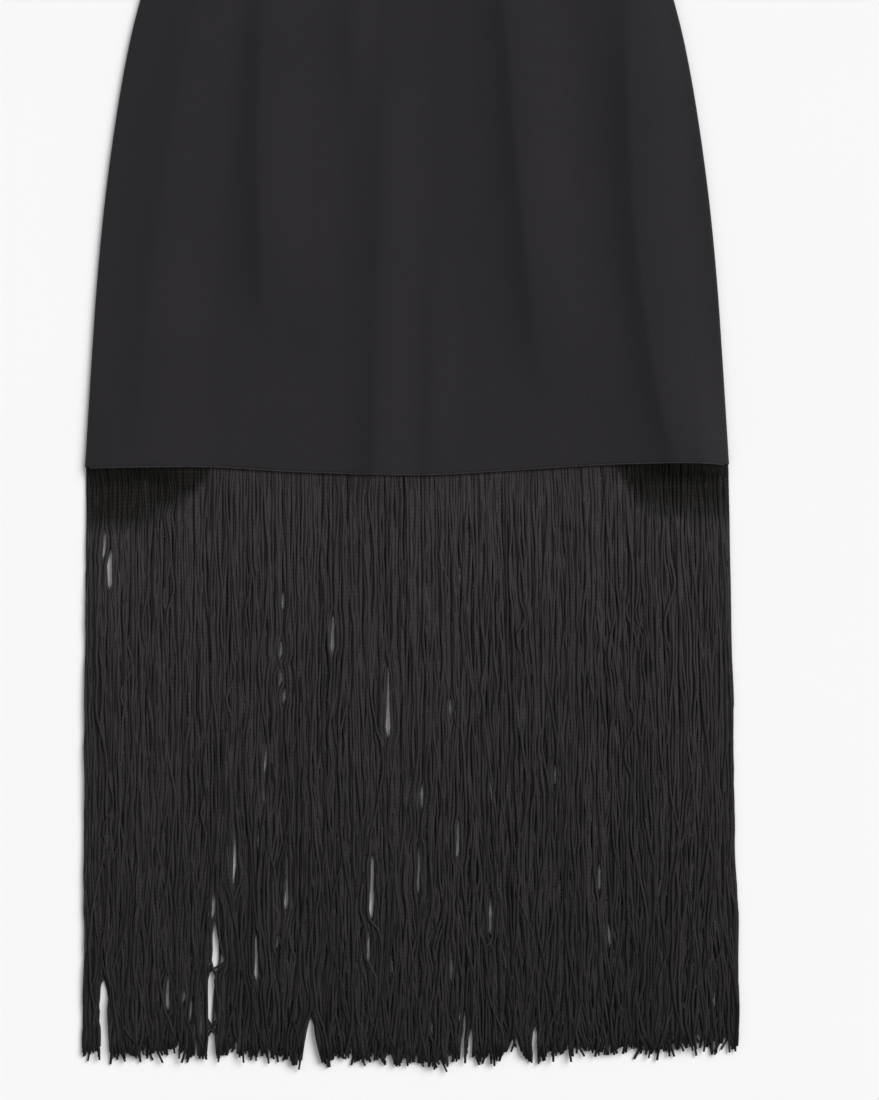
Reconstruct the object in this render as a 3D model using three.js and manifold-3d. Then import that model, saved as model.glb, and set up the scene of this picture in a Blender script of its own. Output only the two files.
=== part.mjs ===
// A black crepe skirt with a long fringe hanging from its hem, laid flat on its back, front uppermost.
// Millimetres: X runs across the skirt, Y up it from the fringe to the waist, Z up off the surface.
// The two panels lie on each other and meet edge to edge at the side seams, where the cloth rolls over.
import * as THREE from "three";
import { mergeVertices } from "three/addons/utils/BufferGeometryUtils.js";
import Module from "manifold-3d";

const wasm = await Module();
wasm.setup();

// Driving sizes of the skirt.
const CLOTH_LENGTH = 454; // from the waist edge down to the hem, along the side seam
const WAISTBAND_HEIGHT = 35;
const FRINGE_DROP = 446; // what shows of the fringe below the hem
const CLOTH_WALL = 1.6;
const BAND_WALL = 2.0; // the waistband is doubled cloth
const SEAM_GAP = 0.3; // left between pieces that are sewn together
const ZIP_LENGTH = 190;

// Half the width of the laid skirt, at heights above the hem: a hip curve that flares gently to the hem.
const SIDE_CURVE = [
  { aboveHem: 0, halfWidth: 243 },
  { aboveHem: 80, halfWidth: 238 },
  { aboveHem: 140, halfWidth: 233.8 },
  { aboveHem: 200, halfWidth: 228 },
  { aboveHem: 260, halfWidth: 220 },
  { aboveHem: 310, halfWidth: 211.4 },
  { aboveHem: 350, halfWidth: 202 },
  { aboveHem: 400, halfWidth: 187 },
  { aboveHem: 454, halfWidth: 169.5 },
];

// The hem's own line: across runs from -1 at the left seam to 1 at the right one, and up is its rise.
const HEM_LINE = [
  { across: -1, up: 0.4 },
  { across: -0.63, up: 1.5 },
  { across: -0.33, up: -2.3 },
  { across: 0.03, up: -4.6 },
  { across: 0.29, up: -1.6 },
  { across: 0.6, up: 3 },
  { across: 0.88, up: 4.4 },
  { across: 1, up: 2.4 },
];

// How high the front lies between its folds. It rises at the hem, over the tape that heads the fringe.
const BED = [
  { aboveHem: 0, height: 6.6 },
  { aboveHem: 45, height: 6.1 },
  { aboveHem: 110, height: 5.6 },
  { aboveHem: 190, height: 5.4 },
  { aboveHem: 330, height: 5.4 },
  { aboveHem: 454, height: 5.6 },
];

// Soft folds of the front: where each crest runs at the waist end and at the hem end and how far it bows
// between them, as shares of the half width, the stretch above the hem over which it shows, its height and
// how far it spreads to each side.
const FOLDS = [
  { waistAt: -0.765, hemAt: -0.841, bow: 0, from: -60, to: 470, height: 8.5, left: 11, right: 52 },
  { waistAt: -0.56, hemAt: -0.42, bow: 0, from: 70, to: 430, height: 9.5, left: 12, right: 66 },
  { waistAt: -0.06, hemAt: -0.1, bow: 0, from: -200, to: 400, height: 6.5, left: 11, right: 36 },
  { waistAt: 0.1, hemAt: 0.075, bow: 0, from: -40, to: 190, height: 2.4, left: 7, right: 24 },
  { waistAt: 0.385, hemAt: 0.46, bow: -0.045, from: 30, to: 450, height: 9.5, left: 12, right: 60 },
  { waistAt: 0.93, hemAt: 0.835, bow: -0.129, from: -140, to: 480, height: 9.5, left: 13, right: 60 },
  { waistAt: -0.22, hemAt: -0.15, bow: 0, from: 250, to: 480, height: 4, left: 11, right: 24 },
];

const CREST_ROUND = 5; // radius with which a crest turns over into its steep side

// The side roll: both panels turn up to the side seam, the front's shoulder being the broad one.
const SEAM_HEIGHT = 3.2;
const FRONT_EDGE = SEAM_HEIGHT + SEAM_GAP / 2;
const BACK_EDGE = SEAM_HEIGHT - SEAM_GAP / 2;
const FRONT_ROLL = 2.3; // radius of the front's rolled edge
const BACK_ROLL = BACK_EDGE; // radius of the back's, which brings it down to the surface
const SHOULDER = 24; // how far in from the edge the front reaches its full height
const ROLL_TURNS = [0, 30, 60, 90]; // degrees
const SLOPE_STEP = 1; // a slope is read this far to either side
const CORNER_RISE = 3.5; // extra height of the hem near its two corners
const CORNER_REACH = 95; // how far up the cloth that rise dies away
const CORNER_FROM = 0.5; // share of the half width at which it starts
const CORNER_FULL = 0.78;

// The fringe: strands of twisted cord on a header tape that is sewn inside the hem.
const TAPE_THICKNESS = 1.0;
const TAPE_FROM = 2; // the tape's lower edge, above the hem
const TAPE_TO = 10;
const TAPE_INSET = 3; // from the side edge to the tape's end
const ROOT_ABOVE_HEM = 5;
const ROOT_HEIGHT = 0.8;
const ROOT_SHARE = 0.8; // a strand's size in the tape, as a share of its size
const STRAND_WIDTH = 2.8;
const STRAND_HEIGHT = 1.4;
const TIP_SHARE = 0.55;
const RAGGED = 6; // how much longer or shorter than the rest a strand may be
const UNEVEN = 0.35; // how much higher than the rest a strand may lie
const SETTLES_BY = 49; // how far below the hem the strands have come down
const FRONT_STRANDS = 110;
const BACK_STRANDS = 100;
const BACK_LIES_AT = 0.4; // under the back strands, off the surface
const FRONT_LIES_AT = 2.75; // under the front strands, clear of the back ones
const LEAN_LEFT = -5; // how far the outermost strands lean out by their tips
const LEAN_RIGHT = 11;
const SWAY = { by: 1.6, across: 31, along: 70 }; // a slow wave that runs through the lying strands

// Where the strands part and the surface shows: the middle of each gap, the drops below the hem between
// which it is open, and how far it moves the strands on either side.
const PARTINGS = [
  { at: -229, from: 375, to: 470, open: 1.6 },
  { at: -145, from: 320, to: 480, open: 2.6 },
  { at: -129, from: 262, to: 325, open: 1.4 },
  { at: -74, from: 395, to: 480, open: 2 },
  { at: -25, from: 290, to: 360, open: 1.2 },
  { at: -14, from: 145, to: 205, open: 1.4 },
  { at: 47, from: 385, to: 480, open: 1.6 },
];
const PARTING_REACH = 24; // how far sideways a parting pushes the strands together

// The concealed zip in the side seam on the right of the front view.
const CHAIN = { inset: 2.8, thickness: 0.7, low: 2.35, high: 3.65, belowEdge: 1, steps: 9 };
const SLIDER = { length: 7, width: 3.4, thickness: 1.5, clear: 0.3, taper: 0.8, corner: 0.8, belowEdge: 6 };
const CROWN = { length: 5, width: 1.2, rise: 1.4, bar: 0.9, bite: 0.3 };
const PULL = { bar: 0.8, arm: 0.8, eye: 0.9, window: 4.4, length: 19, width: 4.4, point: 3 };
const PIVOT_DROP = 0.6; // the pull's bar hangs this far below the middle of the crown

const CREPE = new THREE.MeshStandardMaterial({ color: 0x2b292c, roughness: 0.85, metalness: 0 });
const FRINGE = new THREE.MeshStandardMaterial({ color: 0x2a282a, roughness: 0.6, metalness: 0 });
const CHAIN_BLACK = new THREE.MeshStandardMaterial({ color: 0x1c1b1d, roughness: 0.6, metalness: 0 });
const ENAMEL = new THREE.MeshStandardMaterial({ color: 0x1a191b, roughness: 0.35, metalness: 0.4 });

const point = (x, y, z) => new THREE.Vector3(x, y, z);
const radians = THREE.MathUtils.degToRad;
const smooth = (t) => THREE.MathUtils.smoothstep(t, 0, 1);

// A smooth curve through a table's rows, read at one column and giving another.
function curveThrough(table, at, gives) {
  const knots = table.map((row) => new THREE.Vector2(row[at], row[gives]));
  const fine = new THREE.SplineCurve(knots).getPoints(knots.length * 12);
  return (value) => {
    const next = fine.findIndex((p) => p.x >= value);
    if (next < 0) return fine[fine.length - 1].y;
    if (next === 0) return fine[0].y;
    const [a, b] = [fine[next - 1], fine[next]];
    return THREE.MathUtils.lerp(a.y, b.y, (value - a.x) / (b.x - a.x));
  };
}

const halfWidth = curveThrough(SIDE_CURVE, "aboveHem", "halfWidth");
const hemRise = curveThrough(HEM_LINE, "across", "up");
const bedHeight = curveThrough(BED, "aboveHem", "height");

// The garment's own height of a point: the hem's line fades into straight rows towards the waist.
function rowHeight(x, up) {
  const across = THREE.MathUtils.clamp(x / halfWidth(up), -1, 1);
  return up + hemRise(across) * (1 - smooth(up / (CLOTH_LENGTH - WAISTBAND_HEIGHT)));
}

// A fold's height at a point: steep on the left of its crest and gentle on the right. It dies away over
// the last third of each end.
function foldHeight(fold, x, up) {
  const share = up / CLOTH_LENGTH;
  const bow = 4 * fold.bow * share * (1 - share);
  const crest = halfWidth(up) * (THREE.MathUtils.lerp(fold.hemAt, fold.waistAt, share) + bow);
  const away = x - crest;
  const along = (up - fold.from) / (fold.to - fold.from);
  if (along <= 0 || along >= 1) return 0;
  const fade = Math.min(1, along * 3, (1 - along) * 3);
  const steep = Math.exp((CREST_ROUND - Math.hypot(away, CREST_ROUND)) / fold.left);
  const gentle = 0.5 * (1 + Math.cos(Math.PI * Math.min(away / fold.right, 1)));
  return fold.height * smooth(fade) * (away < 0 ? steep : gentle);
}

function cornerRise(x, up) {
  const across = Math.abs(x) / halfWidth(up);
  const near = smooth((across - CORNER_FROM) / (CORNER_FULL - CORNER_FROM));
  return CORNER_RISE * near * (1 - smooth(up / CORNER_REACH));
}

// The height of the front's upper face.
function frontHeight(x, up) {
  const rollTop = FRONT_EDGE + FRONT_ROLL;
  const folds = FOLDS.reduce((sum, fold) => sum + foldHeight(fold, x, up), 0);
  const body = bedHeight(up) + cornerRise(x, up) + folds;
  const inward = Math.min((halfWidth(up) - Math.abs(x)) / SHOULDER, 1);
  return rollTop + (body - rollTop) * (1 - (1 - inward) ** 2);
}

// The stations across one row of a panel: the rolled left edge, the middle, and the rolled right edge.
function stations(up, roll, middle) {
  const edge = halfWidth(up);
  const rolled = (side) =>
    ROLL_TURNS.map(radians).map((turn) => ({
      x: side * (edge - roll * (1 - Math.cos(turn))),
      turn,
      side,
    }));
  const inner = Array.from({ length: middle - 1 }, (_, k) => ({
    x: (edge - roll) * ((2 * (k + 1)) / middle - 1),
  }));
  return [...rolled(-1), ...inner, ...rolled(1).reverse()];
}

// A point of the front at a station, and the direction that faces out of the cloth there.
function frontAt(station, up) {
  const { x, turn, side } = station;
  if (side) {
    const lift = FRONT_ROLL * (1 - Math.sin(turn));
    return {
      place: point(x, rowHeight(x, up), frontHeight(x, up) - lift),
      out: point(side * Math.cos(turn), 0, Math.sin(turn)),
    };
  }
  const slope = (frontHeight(x + SLOPE_STEP, up) - frontHeight(x - SLOPE_STEP, up)) / (2 * SLOPE_STEP);
  return {
    place: point(x, rowHeight(x, up), frontHeight(x, up)),
    out: point(-slope, 0, 1).normalize(),
  };
}

// The same for the back, which lies flat on the surface and turns up at its edges.
function backAt(station, up) {
  const { x, turn = Math.PI / 2, side = 0 } = station;
  return {
    place: point(x, rowHeight(x, up), BACK_ROLL * (1 - Math.sin(turn))),
    out: point(side * Math.cos(turn), 0, -Math.sin(turn)),
  };
}

const moved = ({ place, out }, distance) => place.clone().addScaledVector(out, distance);

// A closed solid from its corner points and triangles.
function solid(points, faces) {
  const geometry = new THREE.BufferGeometry();
  const flat = points.flatMap((p) => [p.x, p.y, p.z]);
  geometry.setAttribute("position", new THREE.Float32BufferAttribute(flat, 3));
  geometry.setIndex(faces);
  return geometry;
}

// A wall between an upper and a lower grid of points, both given as rows going up the garment.
function wallBetween(upper, lower) {
  const columns = upper[0].length;
  const last = upper.length - 1;
  const below = upper.length * columns;
  const at = (row, column) => row * columns + column;
  const faces = [];
  const quad = (a, b, c, d) => faces.push(a, b, c, a, c, d);
  for (let i = 0; i < last; i++) {
    for (let j = 0; j < columns - 1; j++) {
      quad(at(i, j), at(i, j + 1), at(i + 1, j + 1), at(i + 1, j));
      quad(below + at(i, j), below + at(i + 1, j), below + at(i + 1, j + 1), below + at(i, j + 1));
    }
    const end = columns - 1;
    quad(at(i, 0), at(i + 1, 0), below + at(i + 1, 0), below + at(i, 0));
    quad(below + at(i, end), below + at(i + 1, end), at(i + 1, end), at(i, end));
  }
  for (let j = 0; j < columns - 1; j++) {
    quad(below + at(0, j), below + at(0, j + 1), at(0, j + 1), at(0, j));
    quad(at(last, j), at(last, j + 1), below + at(last, j + 1), below + at(last, j));
  }
  return solid([...upper.flat(), ...lower.flat()], faces);
}

// A piece of the front between two rows of the garment, its inner face moved in by the wall.
function frontPiece(rows, middle, wall) {
  const grid = rows.map((up) => stations(up, FRONT_ROLL, middle).map((s) => frontAt(s, up)));
  return wallBetween(
    grid.map((row) => row.map((p) => p.place)),
    grid.map((row) => row.map((p) => moved(p, -wall))),
  );
}

function backPiece(rows, middle, wall) {
  const grid = rows.map((up) => stations(up, BACK_ROLL, middle).map((s) => backAt(s, up)));
  return wallBetween(
    grid.map((row) => row.map((p) => moved(p, -wall))),
    grid.map((row) => row.map((p) => p.place)),
  );
}

const panelTop = CLOTH_LENGTH - WAISTBAND_HEIGHT;
const PANEL_ROWS = [0, 10, 28, 52, 82, 116, 152, 190, 228, 266, 304, 342, 380, panelTop];
const FRONT_COLUMNS = 46;
const BAND_COLUMNS = 30;
const BACK_COLUMNS = 14;
const bandRows = [panelTop + SEAM_GAP, panelTop + WAISTBAND_HEIGHT / 2, CLOTH_LENGTH];

// A solid for joining and cutting, from a closed geometry.
function asManifold(geometry) {
  const bare = geometry.clone();
  bare.deleteAttribute("normal");
  bare.deleteAttribute("uv");
  const merged = mergeVertices(bare, 1e-4);
  return new wasm.Manifold(
    new wasm.Mesh({
      numProp: 3,
      vertProperties: merged.attributes.position.array,
      triVerts: new Uint32Array(merged.index.array),
    }),
  );
}

function asGeometry(manifold) {
  const mesh = manifold.getMesh();
  const geometry = new THREE.BufferGeometry();
  geometry.setAttribute("position", new THREE.Float32BufferAttribute(mesh.vertProperties, 3));
  geometry.setIndex(new THREE.BufferAttribute(mesh.triVerts, 1));
  return geometry;
}

const joined = (geometries) =>
  asGeometry(geometries.map(asManifold).reduce((whole, piece) => whole.add(piece)));

// An even spread of numbers from -1 to 1 that looks random and is the same each time.
function scatter(seed) {
  const wide = Math.sin(seed * 12.9898 + 4.1414) * 43758.5453;
  return 2 * (wide - Math.floor(wide)) - 1;
}

// How far sideways a strand has moved at a drop below the hem: its lean, a slow wave and the partings.
function strandDrift(x, drop, phase) {
  const down = Math.max(drop, 0) / FRINGE_DROP;
  const across = x / halfWidth(0);
  const lean = down * THREE.MathUtils.lerp(LEAN_LEFT, LEAN_RIGHT, (across + 1) / 2);
  const wave = SWAY.by * down * Math.sin(x / SWAY.across + drop / SWAY.along + phase);
  const parted = PARTINGS.reduce((sum, gap) => {
    const along = (drop - gap.from) / (gap.to - gap.from);
    if (along <= 0 || along >= 1) return sum;
    const away = x - gap.at;
    const push = Math.sign(away) * gap.open * Math.sin(Math.PI * along);
    return sum + push * Math.exp(-Math.abs(away) / PARTING_REACH);
  }, 0);
  return lean + wave + parted;
}

// A three-sided strand through its stops, each with the width and height it has there.
function strand(stops) {
  const points = stops.flatMap(({ x, y, z, width, height }) => [
    point(x - width / 2, y, z),
    point(x + width / 2, y, z),
    point(x, y, z + height),
  ]);
  const faces = [0, 2, 1];
  for (let i = 0; i < stops.length - 1; i++) {
    for (let k = 0; k < 3; k++) {
      const [a, b] = [3 * i + k, 3 * i + ((k + 1) % 3)];
      faces.push(a, b, b + 3, a, b + 3, a + 3);
    }
  }
  const end = 3 * (stops.length - 1);
  faces.push(end, end + 1, end + 2);
  return solid(points, faces);
}

// The height of a row of points at a place across it.
function heightAlong(row, x) {
  const next = Math.max(1, row.findIndex((p) => p.x >= x));
  const [a, b] = [row[next - 1], row[next]];
  return THREE.MathUtils.mapLinear(x, a.x, b.x, a.z, b.z);
}

// A row of strands on its tape, whose lower face is a row of points. They come down from the hem to lie
// at their own height, and the drops are the shares of their length at which they bend.
function fringe({ count, tape, drops, liesAt, phase }) {
  const reach = halfWidth(0) - TAPE_INSET - STRAND_WIDTH / 2;
  const strands = Array.from({ length: count }, (_, k) => {
    const x = reach * ((2 * k) / (count - 1) - 1);
    const drop = FRINGE_DROP + RAGGED * scatter(k + phase);
    const root = heightAlong(tape.lower[0], x) + (TAPE_THICKNESS - ROOT_HEIGHT) / 2;
    const stops = [-ROOT_ABOVE_HEM, ...drops.map((share) => share * drop)].map((fallen, i) => {
      const settled = smooth(fallen / SETTLES_BY);
      const size = i === 0 ? ROOT_SHARE : i === drops.length ? TIP_SHARE : 1;
      const rest = liesAt + UNEVEN * Math.abs(scatter(k + 7 * i + phase));
      return {
        x: x + strandDrift(x, fallen, phase),
        y: rowHeight(x, 0) - fallen,
        z: THREE.MathUtils.lerp(root, rest, settled),
        width: size * STRAND_WIDTH,
        height: size * THREE.MathUtils.lerp(ROOT_HEIGHT / ROOT_SHARE, STRAND_HEIGHT, settled),
      };
    });
    return strand(stops);
  });
  return joined([wallBetween(tape.upper, tape.lower), ...strands]);
}

// The tape inside the front hem lies under the panel's own points, moved in past its wall.
function frontTape() {
  const rolled = ROLL_TURNS.length - 1;
  const [hem, next] = PANEL_ROWS.slice(0, 2).map((up) =>
    stations(up, FRONT_ROLL, FRONT_COLUMNS)
      .slice(rolled, -rolled)
      .map((station) => frontAt(station, up)),
  );
  const level = (distance) =>
    [TAPE_FROM, TAPE_TO].map((up) =>
      hem.map((p, k) => moved(p, -distance).lerp(moved(next[k], -distance), up / PANEL_ROWS[1])),
    );
  return {
    upper: level(CLOTH_WALL + SEAM_GAP),
    lower: level(CLOTH_WALL + SEAM_GAP + TAPE_THICKNESS),
  };
}

// The tape inside the back hem lies flat on that panel.
function backTape() {
  const level = (z) =>
    [TAPE_FROM, TAPE_TO].map((up) =>
      Array.from({ length: BACK_COLUMNS + 1 }, (_, k) => {
        const x = (halfWidth(up) - TAPE_INSET) * ((2 * k) / BACK_COLUMNS - 1);
        return point(x, rowHeight(x, up), z);
      }),
    );
  const base = CLOTH_WALL + SEAM_GAP;
  return { upper: level(base + TAPE_THICKNESS), lower: level(base) };
}

const frontFringe = () =>
  fringe({
    count: FRONT_STRANDS,
    tape: frontTape(),
    drops: [0.012, 0.11, 0.38, 0.7, 1],
    liesAt: FRONT_LIES_AT,
    phase: 0,
  });

const backFringe = () =>
  fringe({
    count: BACK_STRANDS,
    tape: backTape(),
    drops: [0.006, 0.11, 0.38, 0.7, 1],
    liesAt: BACK_LIES_AT,
    phase: 2,
  });

// The zip's chain stands on edge just inside the side seam, from the waist edge down.
function zipChain() {
  const line = Array.from({ length: CHAIN.steps + 1 }, (_, k) => {
    const up = CLOTH_LENGTH - CHAIN.belowEdge - ZIP_LENGTH * (1 - k / CHAIN.steps);
    return { x: halfWidth(up) - CHAIN.inset, y: rowHeight(halfWidth(up), up) };
  });
  const level = (z) => line.map(({ x, y }) => [point(x - CHAIN.thickness, y, z), point(x, y, z)]);
  return wallBetween(level(CHAIN.high), level(CHAIN.low));
}

// A flat plate drawn across and along the seam, standing off it by a distance.
function plate(outline, from, thickness, hole) {
  const drawn = (corners) => corners.map(([across, along]) => new THREE.Vector2(across, along));
  const shape = new THREE.Shape(drawn(outline));
  if (hole) shape.holes.push(new THREE.Path(drawn(hole)));
  const geometry = new THREE.ExtrudeGeometry(shape, { depth: thickness, bevelEnabled: false });
  return geometry.rotateY(Math.PI / 2).translate(from, 0, 0);
}

// The slider: a shield-shaped body, and a crown arched over its middle to hold the pull.
function zipSlider() {
  const { length, width, thickness, clear, taper, corner } = SLIDER;
  const [end, side] = [length / 2, width / 2];
  const body = plate(
    [
      [taper - side, -end],
      [side - taper, -end],
      [side, end - corner],
      [side - corner, end],
      [corner - side, end],
      [-side, end - corner],
    ],
    clear,
    thickness,
  );
  const { length: span, width: depth, rise, bar, bite } = CROWN;
  const face = clear + thickness;
  const foot = span / 2;
  const arch = new THREE.Shape(
    [
      [face - bite, -foot],
      [face + rise, -foot],
      [face + rise + bar, bar - foot],
      [face + rise + bar, foot - bar],
      [face + rise, foot],
      [face - bite, foot],
      [face - bite, foot - bar],
      [face + rise, foot - bar],
      [face + rise, bar - foot],
      [face - bite, bar - foot],
    ].map(([out, along]) => new THREE.Vector2(out, along)),
  );
  const crown = new THREE.ExtrudeGeometry(arch, { depth, bevelEnabled: false });
  return joined([body, crown.translate(0, 0, -depth / 2)]);
}

// The pull: a bar under the crown, an arm past each side of it, and a tab with a pointed end. It is drawn
// about its own bar, and hangs from the middle of the crown.
function zipPull() {
  const { bar, arm, eye, window, length, width, point: tip } = PULL;
  const outer = eye + arm;
  const outline = [
    [-outer, bar / 2],
    [-outer, -window],
    [-width / 2, tip - length],
    [0, -length],
    [width / 2, tip - length],
    [outer, -window],
    [outer, bar / 2],
  ];
  const hole = [
    [-eye, -bar / 2],
    [eye, -bar / 2],
    [eye, arm - window],
    [-eye, arm - window],
  ];
  const middleOfCrown = SLIDER.clear + SLIDER.thickness + CROWN.rise / 2;
  return plate(outline, middleOfCrown - bar / 2, bar, hole).translate(0, -PIVOT_DROP, 0);
}

function named(name, geometry, material) {
  const mesh = new THREE.Mesh(geometry, material);
  mesh.name = name;
  return mesh;
}

// The slider and pull sit on the side seam just below the waist edge, turned to follow its slope.
function zipHardware() {
  const up = CLOTH_LENGTH - SLIDER.belowEdge;
  const slope = (halfWidth(up + SLOPE_STEP) - halfWidth(up - SLOPE_STEP)) / (2 * SLOPE_STEP);
  const hardware = new THREE.Group();
  hardware.add(named("zip_slider", zipSlider(), ENAMEL), named("zip_pull", zipPull(), ENAMEL));
  hardware.position.set(halfWidth(up), rowHeight(halfWidth(up), up), SEAM_HEIGHT);
  hardware.rotation.z = -Math.atan(slope);
  return hardware;
}

const skirt = new THREE.Group();
skirt.add(
  named("front_panel", frontPiece(PANEL_ROWS, FRONT_COLUMNS, CLOTH_WALL), CREPE),
  named("back_panel", backPiece(PANEL_ROWS, BACK_COLUMNS, CLOTH_WALL), CREPE),
  named("waistband_front", frontPiece(bandRows, BAND_COLUMNS, BAND_WALL), CREPE),
  named("waistband_back", backPiece(bandRows, BACK_COLUMNS, BAND_WALL), CREPE),
  named("fringe_front", frontFringe(), FRINGE),
  named("fringe_back", backFringe(), FRINGE),
  named("zip_chain", zipChain(), CHAIN_BLACK),
  zipHardware(),
);

// The origin is on the surface, under the middle of the whole length and width.
const middle = new THREE.Box3().setFromObject(skirt, true).getCenter(point(0, 0, 0));
skirt.position.set(-middle.x, -middle.y, 0);

export default skirt;
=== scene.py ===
"""The looks of a black crepe skirt with a long fringe, laid flat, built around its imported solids.

Sizes are in millimetres and in the skirt's own terms until a mesh is made: across is measured from its
middle towards the right of the front view, up from the side hem towards the waist, and height off the
surface that it lies on. Below the hem, drop is the distance down from the hem's line.
"""

import math

import bpy
import numpy as np
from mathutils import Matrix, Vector


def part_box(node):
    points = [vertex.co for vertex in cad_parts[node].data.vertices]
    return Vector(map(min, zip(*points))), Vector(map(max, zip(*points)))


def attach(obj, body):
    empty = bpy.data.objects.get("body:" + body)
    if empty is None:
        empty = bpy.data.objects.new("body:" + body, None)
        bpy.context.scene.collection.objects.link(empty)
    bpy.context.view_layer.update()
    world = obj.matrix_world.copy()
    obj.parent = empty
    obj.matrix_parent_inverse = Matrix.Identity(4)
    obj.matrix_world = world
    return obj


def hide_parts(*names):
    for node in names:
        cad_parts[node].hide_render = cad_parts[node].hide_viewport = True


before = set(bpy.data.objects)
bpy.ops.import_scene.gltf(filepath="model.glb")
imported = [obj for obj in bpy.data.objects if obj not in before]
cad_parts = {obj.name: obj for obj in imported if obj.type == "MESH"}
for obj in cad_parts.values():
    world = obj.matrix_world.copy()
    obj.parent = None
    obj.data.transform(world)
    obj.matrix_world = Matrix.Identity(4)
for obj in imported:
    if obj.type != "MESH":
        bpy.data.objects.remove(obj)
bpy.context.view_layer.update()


def rows(columns, *values):
    """A table's rows, each as a dictionary by the names of its columns."""
    return [dict(zip(columns.split(), row)) for row in values]


MM = 0.001

# Sizes that the solids share.
CLOTH_LENGTH = 454.0
WAISTBAND_HEIGHT = 35.0
PANEL_TOP = CLOTH_LENGTH - WAISTBAND_HEIGHT
FRINGE_DROP = 446.0
SEAM_GAP = 0.3
SEAM_HEIGHT = 3.2
ZIP_LENGTH = 190.0

# Rows of height above the hem and half the laid width there.
SIDE_CURVE = [
    (0, 243), (80, 238), (140, 233.8), (200, 228), (260, 220), (310, 211.4), (350, 202), (400, 187),
    (454, 169.5),
]
# Rows of place across the hem, as a share of the half width, and the hem's rise there.
HEM_LINE = [
    (-1, 0.4), (-0.63, 1.5), (-0.33, -2.3), (0.03, -4.6), (0.29, -1.6), (0.6, 3), (0.88, 4.4), (1, 2.4),
]
# Rows of height above the hem and how high the front lies there between its folds.
BED = [(0, 6.6), (45, 6.1), (110, 5.6), (190, 5.4), (330, 5.4), (454, 5.6)]
# The fine steps in which such a curve is worked out, for each of its rows.
CURVE_STEPS = 12

# A fold has its crest's place at the waist and at the hem and how far it bows between them, as shares of
# the half width, the stretch above the hem over which it shows, its height, and how far it spreads to its
# left and right.
FOLD_COLUMNS = "waist hem bow from to height left right"
# Soft folds of the front.
FOLDS = rows(
    FOLD_COLUMNS,
    (-0.765, -0.841, 0, -60, 470, 8.5, 11, 52),
    (-0.56, -0.42, 0, 70, 430, 9.5, 12, 66),
    (-0.06, -0.1, 0, -200, 400, 6.5, 11, 36),
    (0.1, 0.075, 0, -40, 190, 2.4, 7, 24),
    (0.385, 0.46, -0.045, 30, 450, 9.5, 12, 60),
    (0.93, 0.835, -0.129, -140, 480, 9.5, 13, 60),
    (-0.22, -0.15, 0, 250, 480, 4, 11, 24),
)
# Two creases that sharpen the folds on the left, and fainter ones between the folds.
CREASES = rows(
    FOLD_COLUMNS,
    (-0.765, -0.841, 0, 50, 480, 2.2, 10, 40),
    (-0.56, -0.42, 0, 110, 410, 1.6, 12, 44),
    (-0.7, -0.62, 0, 120, 400, 0.7, 5, 15),
    (-0.3, -0.27, 0, 60, 300, 0.6, 6, 16),
    (0.13, 0.24, 0, 150, 425, 0.6, 6, 17),
    (0.6, 0.62, 0, 40, 330, 0.5, 6, 18),
    (-0.38, -0.55, 0, -40, 150, 0.6, 6, 15),
)
# Troughs pressed up into the back, which lies on the surface.
BACK_CREASES = rows(
    FOLD_COLUMNS,
    (-0.75, -0.66, 0, 40, 410, 0.8, 8, 12),
    (-0.42, -0.35, 0, -30, 300, 0.6, 6, 16),
    (0.05, 0.02, 0, 90, 430, 0.9, 7, 14),
    (0.38, 0.47, 0, -20, 260, 0.7, 8, 12),
    (0.72, 0.78, 0, 120, 420, 0.8, 6, 15),
)
# The radius with which a crest turns over into its steep side, and how fast a fold rises from its ends.
CREST_ROUND = 5.0
FOLD_FADE = 3

# The side roll and the corners, where the hem stands higher.
FRONT_EDGE = SEAM_HEIGHT + SEAM_GAP / 2
BACK_EDGE = SEAM_HEIGHT - SEAM_GAP / 2
FRONT_ROLL = 2.3
SHOULDER = 24.0
CORNER_RISE = 3.5
CORNER_REACH = 95.0
CORNER_FROM = 0.5
CORNER_FULL = 0.78

# The slight unevenness of cloth that has been laid down by hand, as waves of size, width across, length up
# the skirt and start.
UNDULATION = [(0.22, 19, 61, 0.7), (0.18, 31, -43, 2.1), (0.12, 11, 97, 4.0)]

# The cloth as it is seen: a thin shell, thicker up to the top of the turned hem.
CLOTH = 0.8
HEM_CLOTH = 1.5
HEM_TURN = 32.0
HEM_TURN_EDGE = 2.0
BAND_CLOTH = 1.9

# The darts: their place as a share of the half width and their length down from the waist seam, the depth
# of the crease that each sews in, how much it deepens upwards and how fast it starts, its width, and the
# height and width of the swell beside it.
DART_SHARE = 0.46
DART_LENGTH = 62.0
DART_DEPTH = 0.4
DART_DEEPENS = 0.6
DART_STARTS = 4
DART_WIDTH = 0.7
DART_SWELL = 1.2
DART_SWELL_WIDTH = 9.0

# Puckers along the waist seam: their height, how far they reach from it, and two widths that mix.
PUCKER = 0.16
PUCKER_REACH = 9.0
PUCKER_FINE = 1.9
PUCKER_BROAD = 3.1

# The camera's place, the width that it sees and the width of its sensor.
CAMERA_ACROSS = 24.5
CAMERA_UP = -61.9
CAMERA_HEIGHT = 2200.0
VIEW_WIDTH = 664.0
SENSOR = 36.0

low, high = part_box("front_panel")
MIDDLE_X = (low.x + high.x) / 2
HEM_Y = high.y - PANEL_TOP * MM


# Shapes that several pieces share

def smooth(t):
    t = np.clip(t, 0, 1)
    return t * t * (3 - 2 * t)


def mix(a, b, t):
    return a + (b - a) * t


def waves(table, across, along):
    """The sum of a table's waves, each a row of size, width across, length along and start."""
    return sum(size * np.sin(across / wide + along / long + start) for size, wide, long, start in table)


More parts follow.
